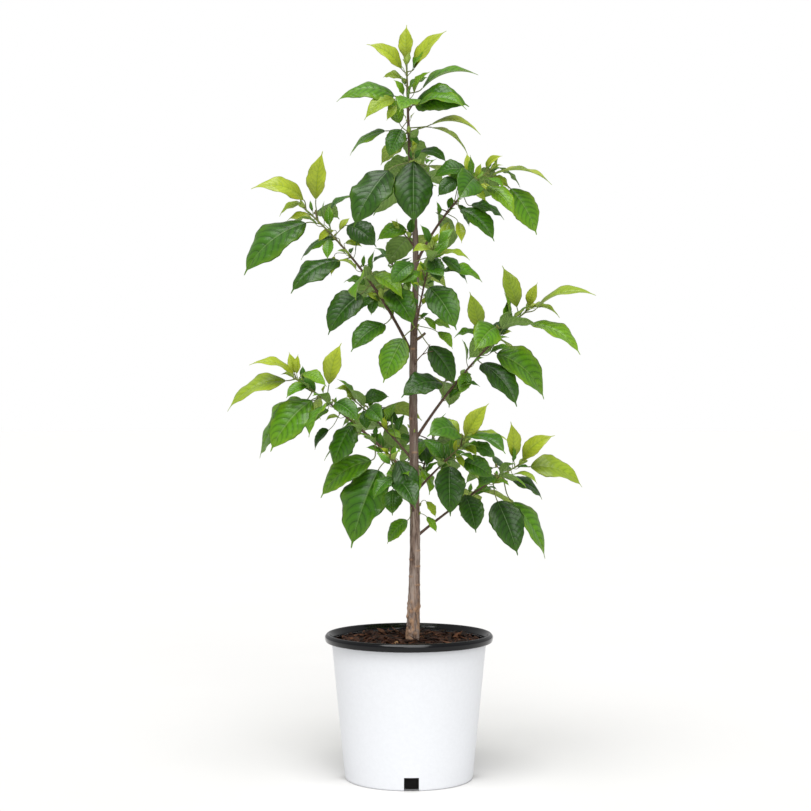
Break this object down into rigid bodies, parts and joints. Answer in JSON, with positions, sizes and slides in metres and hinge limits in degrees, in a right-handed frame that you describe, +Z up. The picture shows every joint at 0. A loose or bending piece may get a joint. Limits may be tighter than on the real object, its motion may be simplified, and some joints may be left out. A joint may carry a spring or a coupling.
{
  "type": "potted young sugar apple tree",
  "caption": "Young fruit tree with a single stem, open tiers of boughs and large pointed leaves, in a round nursery pot filled with soil.",
  "frame": {"origin": "centre of the pot's flat underside", "axes": "+Z up along the trunk, -Y towards the front, +X to the right as seen from the front"},
  "size_m": [0.6107, 0.3839, 1.251],
  "materials": {
    "pot_white": "satin",
    "rim_black": "gloss",
    "bark_mulch": "rough",
    "bark": "rough",
    "twig_bark": "rough",
    "foliage": "satin"
  },
  "bodies": {
    "root": {"bough_back_high": "twig_bark", "bough_back_left": "twig_bark", "bough_back_low": "twig_bark", "bough_back_middle": "twig_bark", "bough_lower_left": "twig_bark", "bough_lower_right": "twig_bark", "bough_lowest_right": "twig_bark", "bough_middle_right": "twig_bark", "bough_upper_left": "twig_bark", "bough_upper_right": "twig_bark", "foliage_back_high": "foliage", "foliage_back_left": "foliage", "foliage_back_low": "foliage", "foliage_back_middle": "foliage", "foliage_front_high": "foliage", "foliage_front_left": "foliage", "foliage_front_low": "foliage", "foliage_front_middle": "foliage", "foliage_leader": "foliage", "foliage_lower_left": "foliage", "foliage_lower_right": "foliage", "foliage_lowest_right": "foliage", "foliage_middle_right": "foliage", "foliage_upper_left": "foliage", "foliage_upper_right": "foliage", "pot": "pot_white", "pot_rim": "rim_black", "soil": "bark_mulch", "trunk": "bark"}
  },
  "joints": []
}
